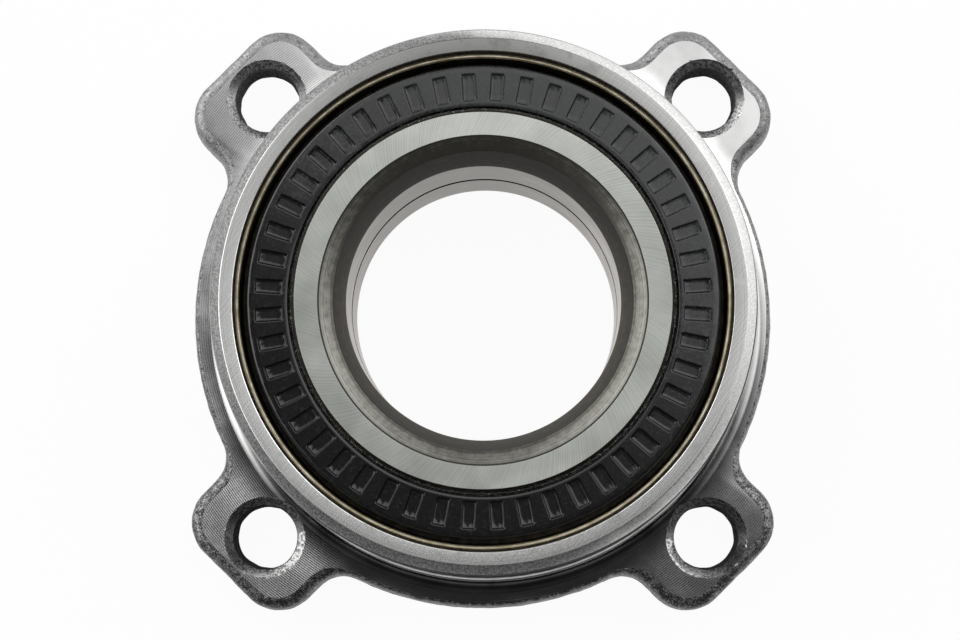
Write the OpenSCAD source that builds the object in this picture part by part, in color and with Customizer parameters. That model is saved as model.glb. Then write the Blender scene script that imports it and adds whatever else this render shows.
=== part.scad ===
// Wheel hub bearing unit with a bolt-on flange: two rows of angular contact balls between a forged outer
// ring with four ears and a pair of inner rings that are pressed on the drive flange's shaft.
// The axis is Z. The ears' machined face is at z = 0, and the inboard side with the encoder points up.

/* [Inner rings] */
// Bore that the drive flange is pressed into
bore_d = 49; // [46:0.1:51]
// Width of the inboard inner ring
inboard_w = 27; // [26:0.1:29]
// Width of the outboard inner ring
outboard_w = 25; // [24.5:0.1:27]
// Height of the split between the inner rings above the ear face
split_z = 14; // [12:0.1:16]
// Width of the chamfer round the bore's mouth
mouth_w = 2.2; // [1.5:0.1:2.4]
// Depth of that chamfer
mouth_h = 1.3; // [0.8:0.1:2]
// Width of the steep lead-in below the chamfer
lead_w = 2; // [1:0.1:2.4]
// Depth of the steep lead-in
lead_h = 6; // [4:0.1:8]
// Chamfer of the two edges that meet at the split
split_c = 0.35; // [0.2:0.05:0.6]
// Chamfer round the outside of each ring's face
face_c = 0.45; // [0.2:0.05:0.7]

/* [Balls and raceways] */
// Diameter of a ball
ball_d = 11.9; // [10.5:0.1:12.6]
// Diameter of the circle through the balls' centres
pitch_d = 75.8; // [74.5:0.1:77]
// Balls in each row
balls_per_row = 16; // [13:1:16]
// Distance from the face of the inboard inner ring to its row of balls
inboard_row_in = 17.5; // [17:0.1:18]
// Distance from the face of the outboard inner ring to its row of balls
outboard_row_in = 15.5; // [15.2:0.1:16]
// Contact angle of the rows, back to back
contact_a = 38; // [30:1:42]
// Raceway groove radius over ball radius
groove_ratio = 1.04; // [1.03:0.005:1.06]
// Running clearance between a ball and each raceway
race_play = 0.06; // [0.04:0.01:0.1]
// Height of the shoulder that takes the thrust, from the bottom of the groove
high_shoulder = 3; // [2.5:0.1:3.4]
// Height of the low shoulder that the balls are fitted over
low_shoulder = 0.35; // [0.2:0.05:0.6]

/* [Cages] */
// Gap between a cage and the high shoulder of the inner rings
cage_in_gap = 1.15; // [0.8:0.05:1.4]
// Gap between a cage and the high shoulders of the outer ring
cage_out_gap = 0.65; // [0.4:0.05:1.2]
// Height of the closed rim past the balls
cage_rim_h = 1.9; // [1.2:0.1:2.2]
// How far the prongs reach past the balls' centres
prong_h = 3; // [2:0.1:3.6]
// Clearance of a ball in its pocket
pocket_play = 0.12; // [0.08:0.01:0.2]

/* [Inner ring clip] */
// Width of the sheet band over the split
clip_w = 9; // [7:0.1:10]
// Thickness of the band
clip_t = 0.8; // [0.5:0.1:1]
// Depth of the hooks at its two edges
clip_hook = 0.6; // [0.3:0.1:0.9]
// Gap where the snap ring is open
clip_open = 4; // [2:0.1:6]
// Clearance of the band in its groove
clip_play = 0.05; // [0.03:0.01:0.1]

/* [Outer ring barrel] */
// Wall of the barrel outside the seal's seat
barrel_wall = 4.65; // [4:0.05:5.2]
// Step from the barrel out to the land that centres the unit in the knuckle
pilot_step = 1.05; // [0.6:0.05:1.6]
// Height of the top of that land above the ear face
pilot_h = 12; // [8:0.1:20]
// How far the barrel's face lies below the inner ring's face
face_step = 0.8; // [0.3:0.1:1.2]
// Width of the chamfer round the barrel's face
nose_w = 1.85; // [1:0.05:2]
// Height of that chamfer
nose_h = 1.6; // [1:0.1:3]
// Fillet between the land and the ear face
root_r = 2.2; // [1:0.1:2.6]
// Width of the ledge between the land and the fillet
ledge_w = 0.5; // [0.3:0.1:0.8]
// How far the outboard face lies below the outboard inner ring
rear_step = 0.5; // [0.3:0.1:1]
// How far the raised outboard face reaches past the land
rear_face_past = 1.5; // [0.5:0.1:2.4]
// Chamfer round that face
rear_c = 0.4; // [0.2:0.1:0.8]

/* [Flange and ears] */
// How far the round part of the flange reaches past the land
flange_past = 5.5; // [4.7:0.1:6.5]
// Thickness of the flange at the ears
ear_t = 11; // [9:0.1:11.2]
// Bolt circle diameter
bolt_pcd = 118; // [117:0.1:120]
// Bolt holes and ears
ears = 4; // [3:1:5]
// Angle of the first ear from the X axis
first_ear_a = 45; // [0:5:90]
// Diameter of a bolt hole
bolt_hole_d = 12.2; // [10:0.1:12.6]
// Chamfer of the holes at the ear face
hole_c = 1.5; // [0.5:0.1:1.6]
// Diameter of the spot face at the back of each hole
spot_d = 23; // [20:0.5:23.5]
// Depth of the spot face
spot_h = 0.4; // [0.2:0.1:1]
// Distance from the middle of a hole to the flat end of its ear
ear_past = 9.9; // [9:0.1:11]
// Width of an ear
ear_w = 28.3; // [27.4:0.1:30]
// Corner radius of an ear
ear_corner_r = 8; // [6:0.1:9]
// Radius of the hollow neck between an ear and the round flange
neck_r = 6; // [4:0.1:9]
// Width of the forged rim round the machined ear face
ear_rim_w = 2.1; // [1:0.1:2.3]
// Width of the forged rim round the flange between the ears
flange_rim_w = 0.8; // [0.4:0.1:1.2]
// Height over which the forged rim rounds off
rim_h = 1.9; // [0.8:0.1:2.4]
// Draft that the forging's sides have from their edge to the parting line
draft_in = 0.35; // [0.2:0.05:0.6]

/* [Seals] */
// Step from the low shoulder out to the seal's seat
seat_step = 0.3; // [0.2:0.05:0.6]
// Chamfer at the mouth of the seal's seat
seat_c = 0.45; // [0.3:0.05:0.6]
// Depth of the inboard seal's seat
inboard_seat_h = 7.2; // [6.9:0.1:7.4]
// Depth of the outboard seal's seat
outboard_seat_h = 6.5; // [6.3:0.1:6.8]
// Sheet thickness of the seal cases
case_t = 0.8; // [0.5:0.05:0.9]
// Height of a seal case
case_h = 6; // [5.4:0.1:6.2]
// Radial reach of the case's web
case_web = 6; // [5:0.1:6.6]
// Step from the high shoulder in to the slinger's seat
slinger_step = 1.35; // [1:0.05:1.6]
// Sheet thickness of the slingers
slinger_t = 0.6; // [0.4:0.05:0.7]
// Height of a slinger's disc above the foot of the seal
slinger_z = 4.3; // [4:0.1:4.5]
// Running gap between the lips and the slinger
lip_play = 0.1; // [0.05:0.01:0.15]
// Thickness of the rubber on the case's web
rubber_t = 0.8; // [0.5:0.1:1]
// Thickness of a lip
lip_t = 0.55; // [0.4:0.05:0.7]
// Distance of the inner lip from the edge of the web
inner_lip_at = 1.8; // [1.6:0.1:2.2]
// Distance of the outer lip from the edge of the web
outer_lip_at = 3.8; // [3.4:0.1:4]
// Width of the rubber outside the outer lip
rubber_past = 0.9; // [0.7:0.1:1.1]
// Gap between a slinger's sleeve and the shoulder of the inner ring
sleeve_play = 0.4; // [0.2:0.1:0.6]

/* [Encoder ring] */
// Thickness of the encoder ring
encoder_t = 1.9; // [1.5:0.1:2.1]
// Gap between the encoder ring and the seal case
encoder_gap = 1.3; // [0.8:0.1:1.8]
// Skirt that folds over the slinger's edge
skirt_t = 0.45; // [0.3:0.05:0.6]
// Number of pockets
pockets = 48; // [40:1:52]
// Length of a pocket along the radius
pocket_l = 4.9; // [4:0.1:5.2]
// Width of a pocket
pocket_w = 2.45; // [1.8:0.05:2.6]
// Depth of a pocket
pocket_h = 0.7; // [0.4:0.1:1]
// Width of the rim outside the pockets
pocket_rim = 1.4; // [1:0.1:1.6]

/* [Hidden] */
// Smallest overlap that makes a cut run clean through
cut = 0.1;
// How far a hollow neck runs into the faces that it blends, so that they cross and don't just touch
blend = 0.05;
// Facets of every round form
$fn = 96;

// Outlines are in the plane of radius and height
bore_r = bore_d / 2;
pitch_r = pitch_d / 2;
ball_r = ball_d / 2;
groove_r = ball_r * groove_ratio;
// Shift of a groove's centre from the ball's centre, away from the contact
groove_shift = groove_r - ball_r - race_play;

inner_high_r = pitch_r - ball_r + high_shoulder;
inner_low_r = pitch_r - ball_r + low_shoulder;
outer_high_r = pitch_r + ball_r - high_shoulder;
outer_low_r = pitch_r + ball_r - low_shoulder;
seat_r = outer_low_r + seat_step;
slinger_r = inner_high_r - slinger_step;
cage_in_r = inner_high_r + cage_in_gap;
cage_out_r = outer_high_r - cage_out_gap;

inboard_end = split_z + inboard_w;
outboard_end = split_z - outboard_w;
barrel_end = inboard_end - face_step;
rear_end = outboard_end - rear_step;
inboard_seal_z = barrel_end - inboard_seat_h;
outboard_seal_z = rear_end + outboard_seat_h;
// The high shoulder ends this far above the foot of the seal, under the slinger's sleeve
shoulder_past_seal = 1.2;
sleeve_start = shoulder_past_seal + sleeve_play;

// The clip's band lies this far below the low shoulder
clip_lip = 0.15;
// Bead round the encoder's inner edge
encoder_bead = 0.25;

barrel_r = seat_r + barrel_wall;
pilot_r = barrel_r + pilot_step;
root_start = pilot_r + ledge_w;
rear_face_r = pilot_r + rear_face_past;
flange_r = pilot_r + flange_past;
ear_reach = bolt_pcd / 2 + ear_past;
// Lowest point of the flange or of the outboard face
back_end = min(rear_end, -ear_t);

// Facets of a curve that is drawn point by point
arc_steps = 6;
rim_steps = 3;

row_names = ["inboard", "outboard"];
function two_digits(i) = i < 10 ? str("0", i) : str(i);
function ball_name(row, i) = str(row_names[row], "_ball_", two_digits(i));

// Side of a row: 1 above the split, -1 below it
function side(row) = row == 0 ? 1 : -1;
// Height of a row above or below the split
function row_rise(row) = row == 0 ? inboard_w - inboard_row_in : outboard_w - outboard_row_in;
function row_z(row) = split_z + side(row) * row_rise(row);
function groove_center(row, inner) = [
    pitch_r + (inner ? 1 : -1) * groove_shift * cos(contact_a),
    row_z(row) - (inner ? 1 : -1) * side(row) * groove_shift * sin(contact_a)];

module groove_cut(row, inner) {
    translate(groove_center(row, inner)) circle(r = groove_r);
}

// Forged edge as pairs of inset and height, from the machined face down to the back
function forged_edge(rim_w) = concat(
    [for (k = [0:rim_steps]) [draft_in + rim_w * (1 - sin(90 * k / rim_steps)),
                              -rim_h * (1 - cos(90 * k / rim_steps))]],
    [[0, -ear_t / 2]],
    [for (k = [rim_steps:-1:0]) [draft_in + rim_w * (1 - sin(90 * k / rim_steps)),
                                 -ear_t + rim_h * (1 - cos(90 * k / rim_steps))]]);

// Section of the outer ring from its inboard face down the outside and back up the two raceways
module outer_ring_section() {
    inside = [
        [seat_r + seat_c, rear_end],
        [seat_r, rear_end + seat_c],
        [seat_r, outboard_seal_z],
        [outer_low_r, outboard_seal_z],
        [outer_low_r, row_z(1)],
        [outer_high_r, row_z(1)],
        [outer_high_r, row_z(0)],
        [outer_low_r, row_z(0)],
        [outer_low_r, inboard_seal_z],
        [seat_r, inboard_seal_z],
        [seat_r, barrel_end - seat_c],
        [seat_r + seat_c, barrel_end]];
    barrel = [
        [barrel_r - nose_w, barrel_end],
        [barrel_r, barrel_end - nose_h],
        [barrel_r, pilot_h + pilot_r - barrel_r],
        [pilot_r, pilot_h],
        [pilot_r, root_r]];
    root = [for (k = [0:arc_steps]) [root_start + root_r * (1 - cos(90 * k / arc_steps)),
                                     root_r * (1 - sin(90 * k / arc_steps))]];
    flange = [for (e = forged_edge(flange_rim_w)) [flange_r - e[0], e[1]]];
    back = [[rear_face_r, -ear_t], [rear_face_r - rear_c, rear_end]];
    difference() {
        polygon(concat(inside, barrel, root, flange, back));
        for (row = [0, 1]) groove_cut(row, false);
    }
}

// Flat bar with forged edges along both sides, from x = from to x = to
module ear_bar(from, to, half_w) {
    edge = forged_edge(ear_rim_w);
    right = [for (e = edge) [half_w - e[0], e[1]]];
    left = [for (k = [len(edge) - 1:-1:0]) [edge[k][0] - half_w, edge[k][1]]];
    translate([from, 0, 0]) rotate([90, 0, 90]) linear_extrude(to - from) polygon(concat(right, left));
}

// Flat end of an ear, square to the diagonal, with the same forged edge
module ear_end(from, half_w) {
    end = [for (e = forged_edge(ear_rim_w)) [ear_reach - e[0], e[1]]];
    translate([0, half_w, 0]) rotate([90, 0, 0]) linear_extrude(2 * half_w)
        polygon(concat([[from, 0]], end, [[from, -ear_t]]));
}

module ear_corner() {
    rotate_extrude()
        polygon(concat([[0, 0]], [for (e = forged_edge(ear_rim_w)) [ear_corner_r - e[0], e[1]]], [[0, -ear_t]]));
}

// Hollow neck that blends one side of an ear into the round flange
module ear_neck() {
    half_w = ear_w / 2;
    center_y = half_w + neck_r - blend;
    center_x = sqrt(pow(flange_r + neck_r - blend, 2) - pow(center_y, 2));
    touch = [center_x, center_y] * flange_r / (flange_r + neck_r);
    // The block starts inside the flange and inside the ear, past their forged edges
    inside = ear_rim_w + draft_in + cut;
    inner = [center_x, center_y] * (flange_r - inside) / (flange_r + neck_r);
    difference() {
        translate([0, 0, -ear_t]) linear_extrude(ear_t)
            polygon([[center_x, half_w - inside], [center_x, center_y], touch, inner,
                     [inner[0], half_w - inside]]);
        translate([center_x, center_y, 0]) rotate_extrude()
            polygon(concat([[0, cut], [neck_r + ear_rim_w + draft_in, cut]],
                           [for (e = forged_edge(ear_rim_w)) [neck_r + e[0], e[1]]],
                           [[neck_r + ear_rim_w + draft_in, -ear_t - cut], [0, -ear_t - cut]]));
    }
}

module ear() {
    half_w = ear_w / 2;
    corner_x = ear_reach - ear_corner_r;
    // An ear starts inside the ring, under the land
    ear_start = pilot_r - ear_rim_w;
    ear_bar(ear_start, corner_x, half_w);
    ear_end(corner_x - ear_corner_r, half_w - ear_corner_r);
    for (s = [1, -1]) translate([corner_x, s * (half_w - ear_corner_r), 0]) ear_corner();
    ear_neck();
    mirror([0, 1, 0]) ear_neck();
}

module bolt_hole() {
    hole_r = bolt_hole_d / 2;
    rotate_extrude() polygon([
        [0, cut],
        [hole_r + hole_c + cut, cut],
        [hole_r, -hole_c],
        [hole_r, spot_h - ear_t],
        [spot_d / 2, spot_h - ear_t],
        [spot_d / 2, back_end - cut],
        [0, back_end - cut]]);
}

// One forging: barrel with both outer raceways, pilot land, round flange and four ears
module flanged_outer_ring() {
    color("silver") rotate([0, 0, first_ear_a]) difference() {
        union() {
            rotate_extrude() outer_ring_section();
            for (i = [0:ears - 1]) rotate([0, 0, 360 * i / ears]) ear();
        }
        for (i = [0:ears - 1]) rotate([0, 0, 360 * i / ears]) translate([bolt_pcd / 2, 0, 0]) bolt_hole();
    }
}

// Section of an inner ring on the side of its row, drawn upwards from the split
module inner_ring_section(row, width, seal_height) {
    s = side(row);
    clip_r = inner_low_r - clip_t - 2 * clip_play - clip_lip;
    outline = [
        [bore_r + split_c, 0],
        [clip_r - split_c, 0],
        [clip_r, 0],
        [clip_r, clip_w / 2 - clip_t],
        [clip_r - clip_hook, clip_w / 2 - clip_t],
        [clip_r - clip_hook, clip_w / 2 + clip_play],
        [inner_low_r, clip_w / 2 + clip_play],
        [inner_low_r, row_rise(row)],
        [inner_high_r, row_rise(row)],
        [inner_high_r, seal_height + shoulder_past_seal],
        [slinger_r, seal_height + shoulder_past_seal],
        [slinger_r, width - face_c],
        [slinger_r - face_c, width],
        [bore_r + lead_w + mouth_w, width],
        [bore_r + lead_w, width - mouth_h],
        [bore_r, width - mouth_h - lead_h],
        [bore_r, split_c]];
    difference() {
        translate([0, split_z]) scale([1, s]) polygon(outline);
        groove_cut(row, true);
    }
}

module inboard_inner_ring() {
    color("gainsboro") rotate_extrude() inner_ring_section(0, inboard_w, inboard_seal_z - split_z);
}

module outboard_inner_ring() {
    color("gainsboro") rotate_extrude() inner_ring_section(1, outboard_w, split_z - outboard_seal_z);
}

// Open sheet ring that snaps over both inner rings and holds them together
module inner_ring_clip() {
    band_r = inner_low_r - clip_lip;
    half_w = clip_w / 2;
    color("slategray") difference() {
        translate([0, 0, split_z]) rotate_extrude() polygon([
            [band_r, -half_w],
            [band_r, half_w],
            [band_r - clip_t - clip_hook, half_w],
            [band_r - clip_t - clip_hook, half_w - clip_t + clip_play],
            [band_r - clip_t, half_w - clip_t + clip_play],
            [band_r - clip_t, clip_t - clip_play - half_w],
            [band_r - clip_t - clip_hook, clip_t - clip_play - half_w],
            [band_r - clip_t - clip_hook, -half_w]]);
        translate([0, -clip_open / 2, split_z - clip_w]) cube([pitch_r, clip_open, 2 * clip_w]);
    }
}

module ball_at(row, i) {
    color("white")
    rotate([0, 0, 360 * (i - 1) / balls_per_row]) translate([pitch_r, 0, row_z(row)]) sphere(r = ball_r);
}

// Snap cage: a closed rim on the seal's side and prongs between the balls
module ball_cage(row) {
    s = side(row);
    rim = ball_r + pocket_play + cage_rim_h;
    color("darkolivegreen") difference() {
        rotate_extrude() translate([0, row_z(row)]) polygon([
            [cage_in_r, -s * prong_h],
            [cage_out_r, -s * prong_h],
            [cage_out_r, s * rim],
            [cage_in_r, s * rim]]);
        for (i = [1:balls_per_row])
            rotate([0, 0, 360 * (i - 1) / balls_per_row]) translate([pitch_r, 0, row_z(row)])
                sphere(r = ball_r + pocket_play);
    }
}

module inboard_cage() {
    ball_cage(0);
}

module outboard_cage() {
    ball_cage(1);
}

// Puts a seal section, drawn upwards from its foot, at the inboard or the outboard end
module seal_place(row) {
    if (row == 0) translate([0, 0, inboard_seal_z]) children();
    else translate([0, 0, outboard_seal_z]) mirror([0, 0, 1]) children();
}

// Pressed steel case: a sleeve in the outer ring and a web that carries the rubber
module seal_case(row) {
    web_r = seat_r - case_t - case_web;
    color("darkkhaki") seal_place(row) rotate_extrude() polygon([
        [web_r, 0],
        [seat_r - case_t / 2, 0],
        [seat_r, case_t / 2],
        [seat_r, case_h],
        [seat_r - case_t, case_h],
        [seat_r - case_t, case_t],
        [web_r, case_t]]);
}

// Rubber bonded on the web, with two lips against the slinger's disc and one on its sleeve
module seal_lips(row) {
    web_r = seat_r - case_t - case_web;
    sleeve_r = slinger_r + slinger_t + lip_play;
    top = case_t + rubber_t;
    reach = slinger_z - lip_play;
    lip_lean = lip_t;
    outer_lip = web_r + outer_lip_at;
    inner_lip = web_r + inner_lip_at;
    neck = web_r - rubber_t;
    color("dimgray") seal_place(row) rotate_extrude() polygon([
        [web_r, 0],
        [web_r, case_t],
        [outer_lip + rubber_past, case_t],
        [outer_lip + rubber_past, top],
        [outer_lip + lip_t, top],
        [outer_lip + lip_t + lip_lean, reach],
        [outer_lip + lip_lean, reach],
        [outer_lip - lip_t / 2, top],
        [inner_lip + lip_t, top],
        [inner_lip + lip_t + lip_lean, reach],
        [inner_lip + lip_lean, reach],
        [inner_lip - lip_t / 2, top],
        [neck, top],
        [sleeve_r, top + 2 * lip_t],
        [sleeve_r, top + lip_t],
        [neck - lip_t, case_t],
        [neck, 0]]);
}

// Sheet slinger: a sleeve pressed on the inner ring and a disc that hides the lips
module slinger(row) {
    disc_r = seat_r - case_t - encoder_gap - skirt_t;
    color("lightsteelblue") seal_place(row) rotate_extrude() polygon([
        [slinger_r, sleeve_start],
        [slinger_r + slinger_t, sleeve_start],
        [slinger_r + slinger_t, slinger_z],
        [disc_r, slinger_z],
        [disc_r, slinger_z + slinger_t],
        [slinger_r + slinger_t / 2, slinger_z + slinger_t],
        [slinger_r, slinger_z + slinger_t / 2]]);
}

// Ring of black encoder rubber on the slinger, with a row of radial pockets
module encoder_ring() {
    out_r = seat_r - case_t - encoder_gap;
    in_r = slinger_r + slinger_t + encoder_bead;
    foot = slinger_z + slinger_t;
    top = foot + encoder_t;
    color("black") seal_place(0) difference() {
        rotate_extrude() polygon([
            [in_r, foot],
            [out_r - skirt_t, foot],
            [out_r - skirt_t, slinger_z],
            [out_r, slinger_z],
            [out_r, top - skirt_t],
            [out_r - skirt_t, top],
            [in_r + encoder_bead, top],
            [in_r, top - encoder_bead]]);
        for (i = [0:pockets - 1])
            rotate([0, 0, 360 * (i + 1 / 2) / pockets])
                translate([out_r - pocket_rim - pocket_l, -pocket_w / 2, top - pocket_h])
                    cube([pocket_l, pocket_w, pocket_h + cut]);
    }
}

module inboard_seal_case() {
    seal_case(0);
}

module inboard_seal_lips() {
    seal_lips(0);
}

module inboard_slinger() {
    slinger(0);
}

module outboard_seal_case() {
    seal_case(1);
}

module outboard_seal_lips() {
    seal_lips(1);
}

module outboard_slinger() {
    slinger(1);
}

flanged_outer_ring();
inboard_inner_ring();
outboard_inner_ring();
inner_ring_clip();
inboard_cage();
outboard_cage();
inboard_seal_case();
inboard_seal_lips();
inboard_slinger();
encoder_ring();
outboard_seal_case();
outboard_seal_lips();
outboard_slinger();
for (row = [0, 1]) for (i = [1:balls_per_row])
    ball_at(row, i);
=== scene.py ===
import math
import bpy
import numpy as np
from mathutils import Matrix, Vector, noise


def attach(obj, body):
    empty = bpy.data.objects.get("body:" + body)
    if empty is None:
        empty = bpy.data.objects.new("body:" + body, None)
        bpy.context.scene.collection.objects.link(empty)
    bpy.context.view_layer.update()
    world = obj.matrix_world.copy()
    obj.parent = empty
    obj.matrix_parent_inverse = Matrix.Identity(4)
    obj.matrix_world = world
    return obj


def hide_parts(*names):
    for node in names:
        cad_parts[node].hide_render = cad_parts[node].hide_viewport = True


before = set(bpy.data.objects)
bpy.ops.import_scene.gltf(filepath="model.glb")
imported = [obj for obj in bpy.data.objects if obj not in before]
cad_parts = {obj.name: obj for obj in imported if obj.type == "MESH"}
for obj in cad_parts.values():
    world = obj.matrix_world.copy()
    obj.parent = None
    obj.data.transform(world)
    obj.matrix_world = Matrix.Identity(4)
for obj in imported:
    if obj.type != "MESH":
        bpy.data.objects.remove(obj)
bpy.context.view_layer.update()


# Outer ring: one steel forging with four ears. The barrel, its nose, the land and the ears' faces are
# turned, the seats and raceways are ground, and the rim round the ears keeps the skin of the forging.
# The holes are drilled and countersunk from the face, and spot faced at the back.
def rounded(outline, steps=3):
    """Gives each corner (across, up, radius) of a closed outline its radius."""
    points = []
    for k, (x, z, radius) in enumerate(outline):
        here = np.array([x, z])
        a = np.array(outline[k - 1][:2]) - here
        b = np.array(outline[(k + 1) % len(outline)][:2]) - here
        if radius == 0:
            points.append((x, z))
            continue
        la, lb = np.linalg.norm(a), np.linalg.norm(b)
        a, b = a / la, b / lb
        half = math.acos(max(-1, min(1, a @ b))) / 2
        run = min(radius / math.tan(half), 0.45 * la, 0.45 * lb)
        radius = run * math.tan(half)
        middle = here + (a + b) / np.linalg.norm(a + b) * radius / math.sin(half)
        start, end = here + a * run - middle, here + b * run - middle
        turn = math.atan2(start[0] * end[1] - start[1] * end[0], start @ end)
        for i in range(steps + 1):
            c, s = math.cos(turn * i / steps), math.sin(turn * i / steps)
            points.append((middle[0] + c * start[0] - s * start[1], middle[1] + s * start[0] + c * start[1]))
    return points


def arc(x, z, radius, first, last, steps):
    """Points of an arc round (x, z), in degrees."""
    turns = [math.radians(first + (last - first) * i / steps) for i in range(steps + 1)]
    return [(x + radius * math.cos(t), z + radius * math.sin(t), 0) for t in turns]


def link(name, points, faces, finishes=(), zones=None):
    """A mesh in millimetres becomes an object in metres, with one finish for each zone."""
    mesh = bpy.data.meshes.new(name)
    mesh.from_pydata((np.asarray(points) / 1000).tolist(), [], faces)
    for each in finishes:
        mesh.materials.append(each)
    if zones is not None:
        mesh.polygons.foreach_set("material_index", np.asarray(zones, np.int32))
    made = bpy.data.objects.new(name, mesh)
    bpy.context.collection.objects.link(made)
    return made


def piece(name, points, faces, finishes, zones=None):
    """A closed mesh becomes a piece with smooth shading between its sharp edges."""
    made = link(name, points, faces, finishes, zones)
    made.data.shade_smooth()
    settle(made)
    return made


def settle(made, sharp=32):
    """Applies a piece's modifiers, marks its sharp edges and evens the shading of its flat faces."""
    for weigh in (False, True):
        if weigh:
            made.modifiers.new("even shading", "WEIGHTED_NORMAL").keep_sharp = True
        elif not made.modifiers:
            made.data.set_sharp_from_angle(angle=math.radians(sharp))
            continue
        bpy.context.view_layer.update()
        seen = made.evaluated_get(bpy.context.evaluated_depsgraph_get())
        done = bpy.data.meshes.new_from_object(seen)
        made.modifiers.clear()
        made.data = done
        if not weigh:
            made.data.set_sharp_from_angle(angle=math.radians(sharp))


def wear(made, body, slot, *nodes):
    """The piece rides on its body and stands for its CAD nodes, which are hidden. The slot is not used."""
    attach(made, body)
    if nodes:
        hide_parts(*nodes)


class Field:
    """A socket in a material. Arithmetic on it adds Math nodes."""

    def __init__(self, tree, socket=None):
        self.tree, self.socket = tree, socket

    def node(self, kind, settings, inputs, output=0):
        made = self.tree.nodes.new("ShaderNode" + kind)
        for name, value in settings.items():
            setattr(made, name, value)
        for name, value in inputs.items():
            if isinstance(value, Field):
                self.tree.links.new(value.socket, made.inputs[name])
            else:
                made.inputs[name].default_value = value
        self.outputs = made.outputs
        return Field(self.tree, made.outputs[output])

    def math(self, operation, *values):
        return self.node("Math", {"operation": operation}, dict(enumerate(values)))

    def __add__(self, other):
        return self.math("ADD", self, other)

    def __radd__(self, other):
        return self.math("ADD", other, self)

    def __sub__(self, other):
        return self.math("SUBTRACT", self, other)

    def __rsub__(self, other):
        return self.math("SUBTRACT", other, self)

    def __mul__(self, other):
        return self.math("MULTIPLY", self, other)

    def __rmul__(self, other):
        return self.math("MULTIPLY", other, self)

    def __pow__(self, other):
        return self.math("POWER", self, other)

    def sine(self):
        return self.math("SINE", self)

    def parts(self):
        self.node("SeparateXYZ", {}, {0: self})
        return [Field(self.tree, out) for out in self.outputs]

    def rise(self, low, high):
        """0 below low and 1 above high, with a smooth step between them."""
        settings = {"interpolation_type": "SMOOTHSTEP"}
        return self.node("MapRange", settings, {"Value": self, "From Min": low, "From Max": high})

    def mix(self, low, high):
        """The colour low where this is 0, and high where it is 1."""
        ends = [c if isinstance(c, Field) else (*c, 1) for c in (low, high)]
        return self.node("Mix", {"data_type": "RGBA"}, {0: self, 6: ends[0], 7: ends[1]}, 2)

    def grain(self, size, detail=2.0, rough=0.5):
        """Noise on a place in millimetres, with lumps of a size."""
        inputs = {"Vector": self, "Scale": 1 / size, "Detail": detail, "Roughness": rough}
        return self.node("TexNoise", {}, inputs)

    def rows(self, pitch, detail=1.0):
        """Noise along one number, with lines a pitch apart."""
        settings = {"noise_dimensions": "1D"}
        return self.node("TexNoise", settings, {"W": self, "Scale": 1 / pitch, "Detail": detail})


def finish(name, metallic, rough=0.4, lay=0, across=0.25):
    """A new material, its shader and the place on the piece in millimetres. The lay is how far the tool
    marks stretch highlights, and across is a quarter turn where the marks run round the axis."""
    made = bpy.data.materials.new(name)
    made.use_nodes = True
    shader = made.node_tree.nodes["Principled BSDF"]
    shader.inputs["Metallic"].default_value = metallic
    shader.inputs["Roughness"].default_value = rough
    shader.inputs["Anisotropic"].default_value = lay
    shader.inputs["Anisotropic Rotation"].default_value = across
    place = Field(made.node_tree).node("TexCoord", {}, {}, "Object")
    place = place.node("VectorMath", {"operation": "SCALE"}, {0: place, "Scale": 1000})
    return made, shader, place


def dress(shader, colour=None, rough=None, height=None, depth=0.02, metallic=None):
    """Joins a finish's fields to its shader. The depth of the relief is in millimetres."""
    for name, value in (("Base Color", colour), ("Roughness", rough), ("Metallic", metallic)):
        if value is not None:
            value.tree.links.new(value.socket, shader.inputs[name])
    if height is not None:
        relief = height.node("Bump", {}, {"Strength": 1, "Distance": depth / 1000, "Height": height})
        height.tree.links.new(relief.socket, shader.inputs["Normal"])


def around(place):
    """The three parts of a place, and its radius from the axis."""
    x, y, z = place.parts()
    return x, y, z, (x * x + y * y) ** 0.5


# The forging's skin: scale and shot marks, dark in its hollows, with painted light that makes it lighter
# towards the top and the sides
forged, shader, place = finish("forged skin", 0.92)
x, y, z = place.parts()
lumps, pits = place.grain(1.3, 3), place.grain(0.3, 2, 0.6)
flakes = place.grain(0.45, 3, 0.7).rise(0.5, 0.7)
# Painted light: the skin lighter towards the top and the sides
lit = (y + x.math("ABSOLUTE", x) * 0.5) * 0.0014
tone = (lumps * 0.35 + pits * 0.65 + lit).rise(0.39, 0.62)
scale = tone.mix((0.03, 0.03, 0.03), (0.27, 0.27, 0.27))
flaked = tone.mix((0.15, 0.15, 0.15), (0.44, 0.44, 0.43))
dress(shader, (flakes * 0.8).mix(scale, flaked), 0.48 - flakes * 0.15, lumps + pits * 0.8, 0.08)

# The ears' turned face: feed marks round the bearing's axis, fainter at the upper right. Painted shade
# darkens the upper right, the upper left ear, the top, the lower right and the face by the root fillet, and a
# painted highlight lies by the root above
faced, shader, place = finish("faced steel", 1.0, lay=0.55)
x, y, z, radius = around(place)
feed = 0.4
drift = place.grain(14, 2)
# Painted light and shade: marks fainter and the tone darker towards the upper right
painted_upper_right = (x + y * 1.2).rise(-5, 60) * 0.85
waves = (radius * (2 * math.pi / feed) + drift * 3).sine() * 0.5 + 0.5
marks = waves * (0.4 + drift) * (1 - painted_upper_right)
stains = place.grain(7, 3, 0.6).rise(0.35, 0.75)
# Painted shade: dark by the root fillet, and darker on the lower right
painted_root_shade = (radius + y * 0.07 + drift * 3).rise(51, 56.5) * (1 - (x - y + drift * 10).rise(58, 92) * 0.6)
# Painted shade on the upper left ear
painted_upper_left_shade = y.rise(20, 44) * (0 - x).rise(20, 44)
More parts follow.
